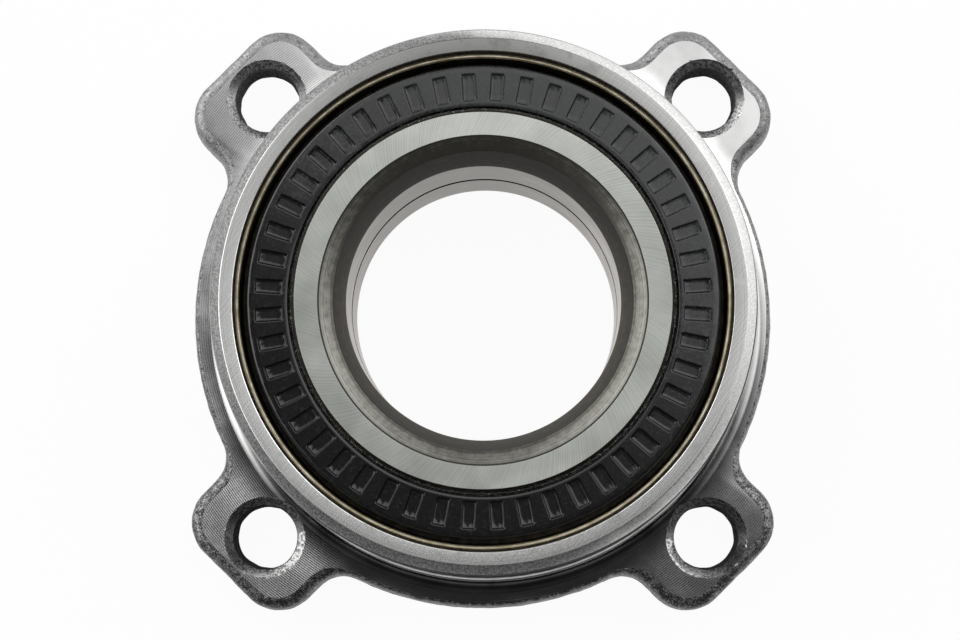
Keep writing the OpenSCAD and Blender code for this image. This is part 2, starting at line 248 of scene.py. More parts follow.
# Painted highlight by the root on the upper side
painted_root_highlight = (1 - (radius + drift * 4).rise(54.5, 59)) * y.rise(-10, 25)
steel = marks.mix(painted_upper_right.mix((0.78, 0.78, 0.775), (0.49, 0.49, 0.485)), (0.50, 0.50, 0.50))
steel = painted_upper_left_shade.mix(steel, marks.mix((0.50, 0.50, 0.50), (0.36, 0.36, 0.36)))
# Painted shade towards the top
steel = (y.rise(44, 60) * 0.7).mix(steel, (0.34, 0.34, 0.34))
steel = painted_root_highlight.mix(steel, (0.92, 0.92, 0.91))
dress(shader, painted_root_shade.mix((0.10, 0.10, 0.10), steel), 0.15 + stains * 0.08, 1 - marks, 0.009)

# Turned barrel: finer marks, with handling stains, and painted shade in its step and along its upper edge,
# most on the lower right
turned, shader, place = finish("turned steel", 1.0, lay=0.7)
x, y, z, radius = around(place)
marks = (radius + z * 1.7).rows(0.16, 2)
stains = place.grain(5, 4, 0.62).rise(0.42, 0.72)
steel = stains.mix(marks.mix((0.46, 0.46, 0.46), (0.64, 0.64, 0.63)), (0.43, 0.43, 0.425))
# Painted shade in the step at the land
painted_step_shade = (z - radius + 36.75 + place.grain(2, 3) * 0.4).rise(-0.25, 0.35) * (1 - z.rise(13.2, 14.5))
# Painted shade along the upper edge, most on the lower right
shaded = (x * 0.5 - y + place.grain(3, 3) * 16).rise(12, 40) * 0.8 + (y - x).rise(15, 50) * 0.3 + 0.2
painted_shade = painted_step_shade.math("MAXIMUM", painted_step_shade, z.rise(37.4, 38.2) * shaded)
dress(shader, painted_shade.mix(steel, (0.015, 0.015, 0.014)), 0.27 + stains * 0.1 + painted_shade * 0.3,
      marks, 0.006, 1 - painted_shade)

# Nose chamfer: left as turned, with painted light towards the right and its outer edge, and painted shade on
# the other side
nosed, shader, place = finish("hardened chamfer", 0.95, lay=0.4)
x, y, z, radius = around(place)
specks = place.grain(0.35, 2, 0.7)
# Painted light and shade: lighter towards the right and the outer edge
painted_lit_side = (x * 0.028 + y * 0.008 + place.grain(5, 3) * 0.5 + (radius - 47.4) * 0.16).rise(0.25, 0.95)
dress(shader, (specks.rise(0.35, 0.7) * 0.3 + painted_lit_side * 0.7).mix((0.13, 0.13, 0.13), (0.86, 0.86, 0.85)),
      0.4 + specks * 0.15, specks, 0.012)

# Ground face of the ring: fine marks round the axis, crossed by faint ones, with matt blotches, painted light
# on the lower side and painted shade on the upper side and at the top
ground, shader, place = finish("ground steel", 1.0, lay=0.75)
x, y, z, radius = around(place)
marks = (radius * 3.1 + place.grain(4) * 1.5).rows(0.45, 3)
weave = (x - y * 0.8).rows(0.3, 2)
blotches = place.grain(3.6, 4, 0.6).rise(0.5, 0.72)
streaks = (marks * 0.6 + weave * 0.4).rise(0.3, 0.7)
painted_light_low_side = streaks.mix((0.60, 0.60, 0.59), (0.84, 0.84, 0.83))
painted_shade_high_side = streaks.mix((0.32, 0.32, 0.31), (0.47, 0.47, 0.46))
# Painted light and shade: lighter on the lower side, darker on the upper side
steel = (x * 0.5 + y).rise(-12, 32).mix(painted_light_low_side, painted_shade_high_side)
# Painted shade at the top
painted_top_shade = (y - x.math("ABSOLUTE", x) * 0.8 + blotches * 6).rise(8, 46)
dress(shader, painted_top_shade.mix(blotches.mix(steel, (0.45, 0.45, 0.435)), (0.26, 0.26, 0.25)),
      0.22 + blotches * 0.09, marks + weave, 0.003)

# Drilled wall: torn chips and spiral drill marks. Inside the barrel, within a radius of 45 mm, it is a dark
# brown painted shade, for the chamfer of the seal's seat and the joint of the inner rings.
drilled, shader, place = finish("drilled steel", 0.0)
shader.inputs["Specular IOR Level"].default_value = 0
x, y, z, radius = around(place)
spiral = (z + place.grain(2.2) * 0.6).rows(0.3, 3)
tears = place.grain(0.45, 3, 0.7)
torn = (spiral * 0.5 + tears * 0.5).rise(0.38, 0.64)
painted_shade_tone = torn.mix((0.004, 0.003, 0.002), (0.035, 0.029, 0.02))
steel = torn.mix((0.016, 0.016, 0.016), (0.24, 0.24, 0.238))
dress(shader, radius.rise(45, 47).mix(painted_shade_tone, steel), 0.4 + tears * 0.25, spiral + tears, 0.06)

# Countersink: torn by the tool, with painted shade on the upper side of each hole
countersunk, shader, place = finish("countersunk steel", 1.0)
x, y, z = place.parts()
hole_y = 41.72
up = y - y.math("SIGN", y) * hole_y
tears = place.grain(0.5, 3, 0.7)
shade = (up + tears * 5 + x * 0.02).rise(1.5, 5.5)
steel = tears.rise(0.36, 0.6).mix((0.24, 0.24, 0.24), (0.78, 0.78, 0.775))
dark = tears.rise(0.4, 0.65).mix((0.02, 0.02, 0.02), (0.17, 0.17, 0.17))
dress(shader, shade.mix(steel, dark), 0.2 + tears * 0.2 + shade * 0.25, tears, 0.014, 1 - shade * 0.8)

# Root fillet: a smooth forming cut, with painted shade on the lower side and a painted highlight on the left
rooted, shader, place = finish("root fillet", 1.0, lay=0.6)
x, y, z, radius = around(place)
lines = (radius + z).rows(0.55, 2)
oil = place.grain(8, 3, 0.6)
streaks = (lines * 0.6 + oil * 0.4).rise(0.3, 0.7)
# Painted shade on the lower side
painted_lit_side = (y + 34 + oil * 8).rise(-4, 26)
# Painted highlight on the left side
steel = (0 - x).rise(5, 40).mix(streaks.mix((0.34, 0.34, 0.34), (0.62, 0.62, 0.61)), (0.86, 0.86, 0.85))
painted_shade_tone = streaks.mix((0.03, 0.03, 0.03), (0.13, 0.13, 0.13))
dress(shader, painted_lit_side.mix(painted_shade_tone, steel), 0.2 + oil * 0.12, lines, 0.01)

# Sizes in millimetres. Heights run from the ears' machined face.
barrel_r, pilot_r, flange_r, lip_r, root_r = 48.45, 49.5, 55.0, 50.45, 2.2
ear_half, ear_reach, ear_corner, neck_r, ear_t = 14.15, 68.9, 8.0, 6.0, 11.0
ear_rim, flange_rim, rim_h, die_shift = 2.1, 0.8, 1.9, np.array([-0.6, -0.15])
hole_at, hole_r, sink, spot_r, spot_h = 59.0, 6.1, 1.5, 11.5, 0.4
rear_z, face_z, draft = -11.5, 40.2, 0.35
seat_r, shoulder_r, high_r = 43.8, 43.5, 40.85
groove_r, groove_x, groove_up = 6.188, 37.76, 0.11
seal_z, row_z, split_z, row_low_z, seal_low_z = 33.0, 23.5, 14.0, 4.5, -5.0

# One half of an ear's outline: end, corner, side, hollow neck and the round flange up to 45 degrees.
# Each point has its place, its outward direction and the width of the rounded rim there.
neck_y = ear_half + neck_r
neck_x = math.sqrt((flange_r + neck_r) ** 2 - neck_y ** 2)
meet = math.degrees(math.atan2(neck_y, neck_x))
half_outline = [(ear_reach, (ear_half - ear_corner) * k / 9, 1, 0, ear_rim) for k in range(9)]
for k in range(14):
    t = math.radians(90 * k / 14)
    half_outline.append((ear_reach - ear_corner + ear_corner * math.cos(t),
                         ear_half - ear_corner + ear_corner * math.sin(t), math.cos(t), math.sin(t), ear_rim))
for k in range(7):
    u = ear_reach - ear_corner + (neck_x - ear_reach + ear_corner) * k / 7
    half_outline.append((u, ear_half, 0, 1, ear_rim))
for k in range(18):
    t = math.radians(270 + (meet - 90) * k / 18)
    share = k / 18
    width = ear_rim - (ear_rim - flange_rim) * share * share * (3 - 2 * share)
    half_outline.append((neck_x + neck_r * math.cos(t), neck_y + neck_r * math.sin(t),
                         -math.cos(t), -math.sin(t), width))
for k in range(34):
    t = math.radians(meet + (45 - meet) * k / 34)
    half_outline.append((flange_r * math.cos(t), flange_r * math.sin(t),
                         math.cos(t), math.sin(t), flange_rim))
mirrored = [(u, -v, nu, -nv, w) for u, v, nu, nv, w in half_outline[:0:-1]]
corner45 = (flange_r * math.cos(-math.pi / 4), flange_r * math.sin(-math.pi / 4),
            math.cos(-math.pi / 4), math.sin(-math.pi / 4), flange_rim)
quarter = np.array([corner45] + mirrored + half_outline)
outline = []
for ear in range(4):
    t = math.radians(45 + 90 * ear)
    turn = np.array([[math.cos(t), math.sin(t)], [-math.sin(t), math.cos(t)]])
    outline.append(np.column_stack([quarter[:, :2] @ turn, quarter[:, 2:4] @ turn, quarter[:, 4]]))
outline = np.concatenate(outline)
edge, out, rim = outline[:, :2], outline[:, 2:4], outline[:, 4]
edge = edge + die_shift
heading = edge - out * (draft + rim)[:, None]
columns = len(edge)
turns = np.unwrap(np.arctan2(heading[:, 1], heading[:, 0]))
even = turns[0] + 2 * math.pi * np.arange(columns) / columns
crowd = turns - even
for _ in range(200):
    crowd = (np.roll(crowd, 1) + np.roll(crowd, -1)) / 2


def circle(r, z, share=1.0):
    """A turned loop. At share 0 its points face the outline's, and at 1 they are spread more evenly."""
    at = turns * (1 - share) + (even + crowd) * share
    return np.column_stack([r * np.cos(at), r * np.sin(at), np.full(columns, z)])


def forged_loop(inset, z, rough):
    """A loop of the forged edge, set in from the outline, with the lumps of the skin."""
    loop = np.column_stack([edge - out * inset[:, None], np.full(columns, z)])
    for k in range(columns):
        lump = noise.noise(Vector(loop[k]) / 2.1) + 0.6 * noise.noise(Vector(loop[k]) / 0.8)
        loop[k, :2] += out[k] * lump * rough
    return loop


loops, strips = [], []


def add_loop(loop, zone):
    """Adds a loop, and names the finish of the strip that leads to it."""
    loops.append(loop)
    strips.append(zone)


def add_circles(zone, *places):
    """Adds turned loops of one finish."""
    for r, z in places:
        add_loop(circle(r, z), zone)


# The loops run from the rear face out to the ears, over their rim to the face, up the land and the
# barrel to the nose, and back down inside
FORGED, FACED, TURNED, NOSE, GROUND, WALL, SINK, ROOT = range(8)
add_circles(GROUND, (44.3, rear_z))
for r, z in ((lip_r, rear_z), (lip_r + 0.15, rear_z + 0.08), (lip_r + 0.5, -ear_t), (lip_r + 0.7, -ear_t)):
    add_loop(circle(r, z, 0), FACED)
# The forged edge: a rounded rim below, the drafted side with its parting line, and a rounded rim above.
# The lumps of the skin are lower where the turned faces cut them off.
steps, lump = 7, 0.10
for k in range(steps + 1):
    t = math.radians(90 * k / steps)
    add_loop(forged_loop(draft + rim * (1 - math.sin(t)), -ear_t + rim_h * (1 - math.cos(t)),
                         lump if k else lump * 0.5), FORGED if k else FACED)
for z, inset in ((-8.6, 0.25), (-7.6, 0.18), (-6.6, 0.1), (-6.1, 0.06), (-5.95, 0.0), (-5.1, 0.0),
                 (-4.95, 0.06), (-4.4, 0.1), (-3.4, 0.18), (-2.4, 0.25)):
    add_loop(forged_loop(np.full(columns, inset), z, lump * 0.9), FORGED)
for k in range(steps + 1):
    t = math.radians(90 * k / steps)
    add_loop(forged_loop(draft + rim * (1 - math.cos(t)), -rim_h * (1 - math.sin(t)),
                         lump if k < steps else lump * 0.7), FORGED)
root_x, root_steps = 52.2, 8
add_loop(circle(root_x + 0.05, 0, 0), FACED)
for k, (r, z, _) in enumerate(arc(root_x, root_r, root_r, 268, 182, root_steps)):
    add_loop(circle(r, z, (k + 1) / (root_steps + 1)), ROOT)
add_circles(TURNED, (pilot_r + 0.45, root_r), (pilot_r + 0.1, root_r), (pilot_r, root_r + 0.1), (pilot_r, 7),
            (pilot_r, 11.85), (pilot_r - 0.07, 12.07), (barrel_r + 0.07, 12.98), (barrel_r, 13.2),
            (barrel_r, 20), (barrel_r, 28), (barrel_r, 38.1), (barrel_r - 0.07, 38.45),
            (barrel_r - 0.25, 38.8))
add_circles(NOSE, (47.6, 39.34), (46.8, 40.03), (46.62, 40.16))
add_circles(GROUND, (46.45, face_z), (44.4, face_z), (44.25, face_z - 0.05))
# The chamfer of the seal's seat takes the drilled finish, with its painted shade
add_circles(WALL, (seat_r + 0.05, 39.75), (seat_r, 39.6))
add_circles(TURNED, (seat_r, seal_z))
add_circles(GROUND, (shoulder_r, seal_z), (shoulder_r, 26.2))
rise = math.degrees(math.asin((high_r - groove_x) / groove_r))
top = math.degrees(math.acos((shoulder_r - groove_x) / groove_r))
upper_groove = arc(groove_x, row_z + groove_up, groove_r, top, rise - 90, 12)
lower_groove = arc(groove_x, row_low_z - groove_up, groove_r, 90 - rise, -top, 12)
add_circles(GROUND, *[place[:2] for place in upper_groove], (high_r, split_z),
            *[place[:2] for place in lower_groove])
add_circles(GROUND, (shoulder_r, 1.8), (shoulder_r, seal_low_z), (seat_r, seal_low_z))
add_circles(TURNED, (seat_r, -10.9), (seat_r + 0.05, -11.05))
add_circles(NOSE, (44.2, -11.4))

count = len(loops)
faces, zones = [], []
for i in range(count):
    after = (i + 1) % count
    low, high = i * columns, after * columns
    for j in range(columns):
        beside = (j + 1) % columns
        faces.append((low + j, low + beside, high + beside, high + j))
        zones.append(strips[after])
finishes = [forged, faced, turned, nosed, ground, drilled, countersunk, rooted]
outer_ring = link("outer_ring", np.concatenate(loops), faces, finishes, zones)

# The drill: one section turned round each hole's axis, with the countersink and the spot face. The loop
# at exit_z is ragged, where the drill broke through.
exit_z, hole_steps = -10.2, 96
drill = [(hole_r + sink + 1.5, 1.5), (hole_r + sink, 0), (hole_r + 0.12, -sink + 0.12),
         (hole_r, -sink - 0.1), (hole_r, -4), (hole_r, -7), (hole_r, exit_z), (hole_r + 0.35, spot_h - ear_t),
         (spot_r, spot_h - ear_t), (spot_r, -13)]
drill_zones = [SINK] * 3 + [WALL] * 4 + [FACED] * 2
points, faces, zones = [], [], []
for ear in range(4):
    t = math.radians(45 + 90 * ear)
    base = len(points)
    for r, z in drill:
        for j in range(hole_steps):
            a = 2 * math.pi * j / hole_steps
            if z == exit_z:
                r = hole_r - 0.3 + 0.18 * noise.noise(Vector((ear * 5, 3 * math.cos(a), 3 * math.sin(a))))
            points.append((hole_at * math.cos(t) + r * math.cos(a),
                           hole_at * math.sin(t) + r * math.sin(a), z))
    for i, zone in enumerate(drill_zones):
        low, high = base + i * hole_steps, base + (i + 1) * hole_steps
        for j in range(hole_steps):
            k = (j + 1) % hole_steps
            faces.append((low + j, high + j, high + k, low + k))
            zones.append(zone)
    faces.append(tuple(range(base, base + hole_steps)))
    faces.append(tuple(reversed(range(len(points) - hole_steps, len(points)))))
    zones += [SINK, FACED]
drills = link("drill", points, faces, finishes, zones)
bore_out = outer_ring.modifiers.new("drill", "BOOLEAN")
bore_out.object, bore_out.operation, bore_out.solver = drills, "DIFFERENCE", "MANIFOLD"
outer_ring.data.shade_smooth()
settle(outer_ring, 28)
bpy.data.objects.remove(drills)
wear(outer_ring, "outer", "forged_steel", "flanged_outer_ring")


# Burrs: chips that the countersink left standing round the edge of each hole. One chip is built, and
# Geometry Nodes scatter it round the four edges.
def node_tree(name, sockets):
    """An empty Geometry Nodes tree with named inputs, and the call that adds a node to it."""
    tree = bpy.data.node_groups.new(name, "GeometryNodeTree")
    tree.interface.new_socket("Geometry", in_out="OUTPUT", socket_type="NodeSocketGeometry")
    keys = {}
    for label, kind in sockets:
        made = tree.interface.new_socket(label, in_out="INPUT", socket_type="NodeSocket" + kind)
        keys[label] = made.identifier

    def add(kind, inputs=(), **settings):
        made = tree.nodes.new(kind)
        for key, value in settings.items():
            setattr(made, key, value)
        for label, value in dict(inputs).items():
            if isinstance(value, bpy.types.NodeSocket):
                tree.links.new(value, made.inputs[label])
            else:
                made.inputs[label].default_value = value
        return made.outputs

    return tree, keys, add


def grow(made, tree, keys, values):
    """Puts the tree on a piece, with its inputs set before it is first evaluated."""
    modifier = made.modifiers.new(tree.name, "NODES")
    modifier.node_group = tree
    for label, value in values.items():
        modifier[keys[label]] = value


profile = [(-0.5, -0.1), (0.05, -0.17), (0.62, 0.05), (0.1, 0.13), (-0.45, 0.1)]
points = [(x, y, z + x * x * 0.5) for z in (-0.09, 0.03) for x, y in profile]
faces = [(4, 3, 2, 1, 0), (5, 6, 7, 8, 9)] + [(k, (k + 1) % 5, (k + 1) % 5 + 5, k + 5) for k in range(5)]
burrs = link("burrs", points, faces)
tree, keys, add = node_tree("burrs round the holes", (
    ("Chip", "Geometry"), ("Spread", "Float"), ("Rim", "Float"), ("Share", "Float"), ("Seed", "Int"),
    ("Steel", "Material")))
given = add("NodeGroupInput")
holes = add("GeometryNodeMeshCircle", {"Vertices": 4, "Radius": given["Spread"]})
holes = add("GeometryNodeTransform", {"Geometry": holes[0], "Rotation": (0, 0, math.pi / 4)})
rim_ring = add("GeometryNodeMeshCircle", {"Vertices": 60, "Radius": given["Rim"]})
place = add("GeometryNodeInputPosition")
split = add("ShaderNodeSeparateXYZ", {0: place[0]})
lean = add("ShaderNodeMath", {0: split[1], 1: split[0]}, operation="ARCTAN2")
kept = add("GeometryNodeStoreNamedAttribute", {"Geometry": rim_ring[0], "Name": "lean", "Value": lean[0]},
           data_type="FLOAT")
rings = add("GeometryNodeInstanceOnPoints", {"Points": holes[0], "Instance": kept[0]})
rings = add("GeometryNodeRealizeInstances", {0: rings[0]})
spots = add("GeometryNodeMeshToPoints", {0: rings[0]})
chance = add("FunctionNodeRandomValue", {"Seed": given["Seed"]}, data_type="FLOAT")
patch = add("ShaderNodeTexNoise", {"Vector": place[0], "Scale": 260.0, "Detail": 1.0})
chance = add("ShaderNodeMath", {0: chance[1], 1: patch[0]}, operation="MULTIPLY")
bare = add("FunctionNodeCompare", {0: chance[0], 1: given["Share"]}, data_type="FLOAT", operation="LESS_THAN")
spots = add("GeometryNodeDeleteGeometry", {"Geometry": spots[0], "Selection": bare[0]}, domain="POINT")
named = add("GeometryNodeInputNamedAttribute", {"Name": "lean"}, data_type="FLOAT")
tip = add("FunctionNodeRandomValue", {2: 0.9, 3: 2.2, "Seed": given["Seed"]}, data_type="FLOAT")
turn = add("ShaderNodeMath", {0: named[0], 1: tip[1]}, operation="ADD")
rock = add("FunctionNodeRandomValue", {2: -0.35, 3: 0.35, "Seed": 5}, data_type="FLOAT")
facing = add("ShaderNodeCombineXYZ", {"X": rock[1], "Y": rock[1], "Z": turn[0]})
grade = add("FunctionNodeRandomValue", {2: 0.35, 3: 1.1, "Seed": 9}, data_type="FLOAT")
chips = add("GeometryNodeInstanceOnPoints", {"Points": spots[0], "Instance": given["Chip"],
                                             "Rotation": facing[0], "Scale": grade[1]})
chips = add("GeometryNodeRealizeInstances", {0: chips[0]})
chips = add("GeometryNodeSetMaterial", {"Geometry": chips[0], "Material": given["Steel"]})
add("NodeGroupOutput", {0: chips[0]})
grow(burrs, tree, keys, {"Spread": hole_at / 1000, "Rim": (hole_r + sink - 0.03) / 1000, "Share": 0.3,
                         "Seed": 4, "Steel": countersunk})
settle(burrs, 30)
wear(burrs, "outer", "forged_steel")

# Smeared edges: the two longest burrs, each folded down over its countersink. They run from an angle
# through a sweep, and narrow from one width to another over their first third.
smeared, shader, place = finish("smeared edge", 1.0)
folds = place.grain(0.5, 3, 0.6)
dress(shader, folds.rise(0.4, 0.6).mix((0.14, 0.14, 0.14), (0.55, 0.55, 0.545)),
      0.26 + folds * 0.3, folds, 0.05)
smear_r, steps, hole_x = hole_r + sink + 0.12, 40, hole_at * 0.7071
points, faces = [], []
for side, first, sweep, wide_first, wide_last in ((1, 182, 76, 1.5, 0.4), (-1, 8, -83, 1.35, 1.35)):
    base = len(points)
    for i in range(steps + 1):
        t = i / steps
        a = math.radians(first + sweep * t)
        wide = max(wide_last, wide_first + (wide_last - wide_first) * t * 3)
        wide = wide * min(1, 0.5 + 8 * (1 - t), 0.6 + 8 * t) + 0.12 * noise.noise(Vector((t * 14, side, 0)))
        for r, lift in ((smear_r - wide, 0.09), (smear_r, 0.12), (smear_r, -0.02), (smear_r - wide, -0.03)):
            points.append((side * hole_x + r * math.cos(a), -hole_x + r * math.sin(a),
                           (r - smear_r) * 0.3 + lift))
    strip = [(3, 2, 1, 0), tuple(steps * 4 + k for k in range(4))]
    strip += [(i * 4 + k, (i + 1) * 4 + k, (i + 1) * 4 + (k + 1) % 4, i * 4 + (k + 1) % 4)
              for i in range(steps) for k in range(4)]
    faces += [tuple(base + k for k in (reversed(f) if sweep > 0 else f)) for f in strip]
wear(piece("smeared_edges", points, faces, [smeared]), "outer", "forged_steel")


# Inner rings: two rings of bearing steel, hardened and ground all over. The bore's lead-in is left dark
# from heat treatment. The flange's shaft is pressed through both, which clamps them face to face.
def turn_round(name, outline, finishes, foot, side, pick=None):
    """Turns a closed outline of (radius, rise, corner) round the axis. It rises from the foot, or falls
    from it for side -1. A strip's finish is picked by its radius and rise."""
    outline = rounded([(r, foot + side * rise, corner) for r, rise, corner in outline][::side])
    size, segments = len(outline), 256
    angles = [2 * math.pi * j / segments for j in range(segments)]
    points = [(r * math.cos(a), r * math.sin(a), z) for r, z in outline for a in angles]
    faces, zones = [], []
    for i in range(size):
        after = (i + 1) % size
        r, z = [(outline[i][k] + outline[after][k]) / 2 for k in (0, 1)]
        zone = pick(r, side * (z - foot)) if pick else 0
        low, high = i * segments, after * segments
        for j in range(segments):
            beside = (j + 1) % segments
            faces.append((low + j, low + beside, high + beside, high + j))
            zones.append(zone)
    return piece(name, points, faces, finishes, zones)


# Ground end face: short strokes of the wheel across the ring
lapped, shader, place = finish("lapped face", 1.0, lay=0.3, across=0)
x, y, z, radius = around(place)
angle = y.math("ARCTAN2", y, x)
strokes = (angle * 30 + radius * 0.5).rows(0.16, 3)
bloom = place.grain(7, 3, 0.55)
# The y term is painted light: the face a little lighter towards the top
tone = (strokes * 0.65 + bloom * 0.35 + y * 0.0012).rise(0.32, 0.68)
dress(shader, tone.mix((0.33, 0.345, 0.32), (0.54, 0.555, 0.52)), 0.32 + bloom * 0.12, strokes, 0.005)

# Lead-in: dark brown skin from heat treatment, darker towards the face, with painted shade, most at the top
browned, shader, place = finish("browned lead-in", 0.75)
x, y, z = place.parts()
mottle = place.grain(1.6, 4, 0.6)
lines = z.rows(0.5, 2)
# Painted shade, most at the top and a little at the bottom
shaded = y.rise(-5, 25) * 0.17 + (0 - y).rise(5, 30) * 0.07
tone = (mottle * 0.6 + lines * 0.2 - 0.02 + (39.7 - z) * 0.03 - shaded).rise(0.25, 0.8)
dress(shader, tone.mix((0.018, 0.0145, 0.0095), (0.125, 0.108, 0.082)),
      0.42 + mottle * 0.2, mottle + lines * 0.5, 0.03)

# Mouth of the bore: turned, with a thin oxide, a dark scribed line at its edge, and painted shade at the top
# and towards the bore
greyed, shader, place = finish("greyed mouth", 0.9, lay=0.4)
x, y, z, radius = around(place)
mottle = place.grain(1.2, 4, 0.6)
marks = radius.rows(0.25, 2)
# Painted shade: darker at the top and towards the bore, lighter towards the outer edge
painted_bore_shade = (0 - radius).rise(-27.5, -26.5)
tone = mottle * 0.4 + marks * 0.4 + 0.11 + (radius - 27.9) * 0.05 - y.rise(0, 30) * 0.22 - painted_bore_shade * 0.12
skin = tone.rise(0.27, 0.7).mix((0.075, 0.072, 0.062), (0.27, 0.268, 0.243))
scribe = (radius + mottle * 0.1).rise(28.84, 28.98)
dress(shader, scribe.mix(skin, (0.012, 0.011, 0.008)), 0.36 + mottle * 0.15 + scribe * 0.2,
      mottle + marks, 0.02, 0.9 - scribe * 0.8)

# Ground bore: fine marks round it, with painted light that makes it brighter at the bottom
honed, shader, place = finish("ground bore", 1.0, lay=0.5)
x, y, z = place.parts()
angle = y.math("ARCTAN2", y, x)
marks = (z + angle * 0.02).rows(0.28, 3)
cloud = place.grain(6, 3, 0.5)
# The x and y terms are painted light, brighter at the bottom
tone = (marks * 0.4 + cloud * 0.4 + x * 0.002 - y * 0.009 + 0.12).rise(0.2, 0.8)
dress(shader, tone.mix((0.15, 0.135, 0.12), (0.70, 0.665, 0.63)), 0.3 + cloud * 0.12, marks, 0.006)

bore_r, mouth_r, lead_r, mouth_h, lead_h = 24.5, 29.2, 26.5, 1.3, 6.0
low_r, inner_high_r, slinger_r = 32.3, 34.95, 33.6
clip_r, clip_low, clip_high, edge_c, seam_h = 31.25, 3.7, 4.55, 0.35, 1.0
LAPPED, GREYED, BROWNED, HONED, SEAM = range(5)


def inner_ring(name, side, width):
    """One inner ring, drawn up from the split, or down for side -1."""
    inner_x, inner_up, seal_rise, row_rise = 38.04, -0.11, seal_z - split_z, row_z - split_z
    low = math.degrees(math.acos((inner_x - low_r) / groove_r))
    high = math.degrees(math.acos((inner_x - inner_high_r) / groove_r))
    outline = [(bore_r + 0.35, 0, 0.08), (clip_r, 0, 0.2), (clip_r, clip_low, 0), (clip_r - 0.6, clip_low, 0),
               (clip_r - 0.6, clip_high, 0), (low_r, clip_high, 0.1), (low_r, row_rise - 3.2, 0)]
    outline += arc(inner_x, row_rise + inner_up, groove_r, 180 + low, 180 - high, 16)
    outline += [(inner_high_r, seal_rise + 1.2, 0.2), (slinger_r, seal_rise + 1.2, 0.1),
                (slinger_r, width - edge_c, 0.08), (slinger_r - edge_c, width, 0.08),
                (mouth_r, width, 0.1), (lead_r, width - mouth_h, 0.25),
                (bore_r, width - mouth_h - lead_h, 1.5), (bore_r, seam_h, 0), (bore_r, 0.35, 0.08)]

    def pick(r, rise):
        # The joint of the rings takes the drilled finish, with its painted shade
        if r < bore_r + 0.4 and rise < seam_h:
            return SEAM
        if r > slinger_r - edge_c and rise > width - edge_c:
            return BROWNED
        if rise > width - 0.02:
            return LAPPED
        if r < mouth_r + 0.1 and rise > width - mouth_h - 0.05:
            return GREYED
        if r < lead_r + 0.1 and rise > width - mouth_h - lead_h - 0.1:
            return BROWNED
        return HONED if r < bore_r + 0.4 else LAPPED

    return turn_round(name, outline, [lapped, greyed, browned, honed, drilled], split_z, side, pick)


wear(inner_ring("inboard_ring", 1, 27.0), "inner", "ground_steel", "inboard_inner_ring")
wear(inner_ring("outboard_ring", -1, 25.0), "inner", "ground_steel", "outboard_inner_ring")


# Inboard seal case: sheet pressed into the outer ring's seat, with a tan film of old oil on its rim.
# The outboard one is the same pressing, turned over.
pressed, shader, place = finish("oiled sheet", 0.8)
film = place.grain(3, 3, 0.6)
dress(shader, film.rise(0.3, 0.7).mix((0.66, 0.60, 0.45), (0.36, 0.31, 0.20)),
      0.3 + film * 0.2, place.grain(0.6, 2), 0.02)

# The case below its rim: the same sheet, near black with painted shade in the gap between the rings
sheet_in_painted_shade, shader, place = finish("sheet in painted shade", 0.7)
film = place.grain(2, 3, 0.6)
dress(shader, film.rise(0.35, 0.7).mix((0.010, 0.008, 0.006), (0.045, 0.036, 0.022)),
      0.35 + film * 0.2, film, 0.02)


def seal_case(name, foot, side):
    """A sleeve and a web, drawn up from the foot of the seal."""
    outline = [(37.0, 0, 0.1), (43.3, 0, 0.4), (43.8, 0.5, 0.3), (43.8, 6.0, 0.12), (43.38, 6.0, 0.12),
               (43.15, 5.7, 0.1), (43.0, 5.2, 0.1), (43.0, 0.8, 0.3), (37.0, 0.8, 0.1)]
    rim_foot = 5.75
    # The rim takes the oiled sheet, and the rest the sheet in painted shade
    return turn_round(name, outline, [pressed, sheet_in_painted_shade], foot, side,
                      lambda r, rise: 0 if rise > rim_foot else 1)


wear(seal_case("inboard_case", seal_z, 1), "outer", "plated_sheet", "inboard_seal_case")
wear(seal_case("outboard_case", seal_low_z, -1), "outer", "plated_sheet", "outboard_seal_case")


# Slingers: sheet rings pressed on the inner rings in front of the lips
sheet, shader, place = finish("slinger sheet", 0.95)
x, y, z, radius = around(place)
rub = radius.rows(0.4, 2)
oil = place.grain(4, 3, 0.6).rise(0.4, 0.7)
dress(shader, oil.mix(rub.mix((0.36, 0.36, 0.35), (0.50, 0.50, 0.48)), (0.20, 0.19, 0.16)), 0.28 + oil * 0.2,
      rub, 0.01)


def slinger(name, foot, side):
    """A sleeve and a disc with a bent root, drawn up from the foot of the seal."""
    disc_r = 41.25
    outline = [(slinger_r, 1.6, 0.1), (slinger_r + 0.6, 1.6, 0.1), (slinger_r + 0.6, 4.3, 0.2),
               (disc_r, 4.3, 0.1), (disc_r, 4.9, 0.25),
               (slinger_r + 0.3, 4.9, 0.3), (slinger_r, 4.6, 0.2)]
    return turn_round(name, outline, [sheet], foot, side)


wear(slinger("inboard_disc", seal_z, 1), "inner", "sheet_steel", "inboard_slinger")
wear(slinger("outboard_disc", seal_low_z, -1), "inner", "sheet_steel", "outboard_slinger")


# Encoder ring: magnetised rubber moulded on the slinger, with 48 pockets from the mould. One sector is
# built, and Geometry Nodes set it round the axis and weld it into one ring.
moulded, shader, place = finish("encoder rubber", 0.0, 0.35)
x, y, z = place.parts()
smears = place.grain(5, 4, 0.62)
scuffs = place.grain(0.5, 4, 0.75)
# Dust and scuffs, with a painted sheen that grows towards the upper right
dust_and_sheen = (smears * 0.55 + scuffs * 0.45 + (x * 0.5 + y) * 0.005).rise(0.49, 0.72)
film = scuffs.rise(0.5, 0.72) * 0.5 + dust_and_sheen * 0.5
dress(shader, film.mix((0.002, 0.002, 0.0024), (0.033, 0.035, 0.036)), 0.14 + dust_and_sheen * 0.14, scuffs, 0.004)
shader.inputs["IOR"].default_value = 1.58

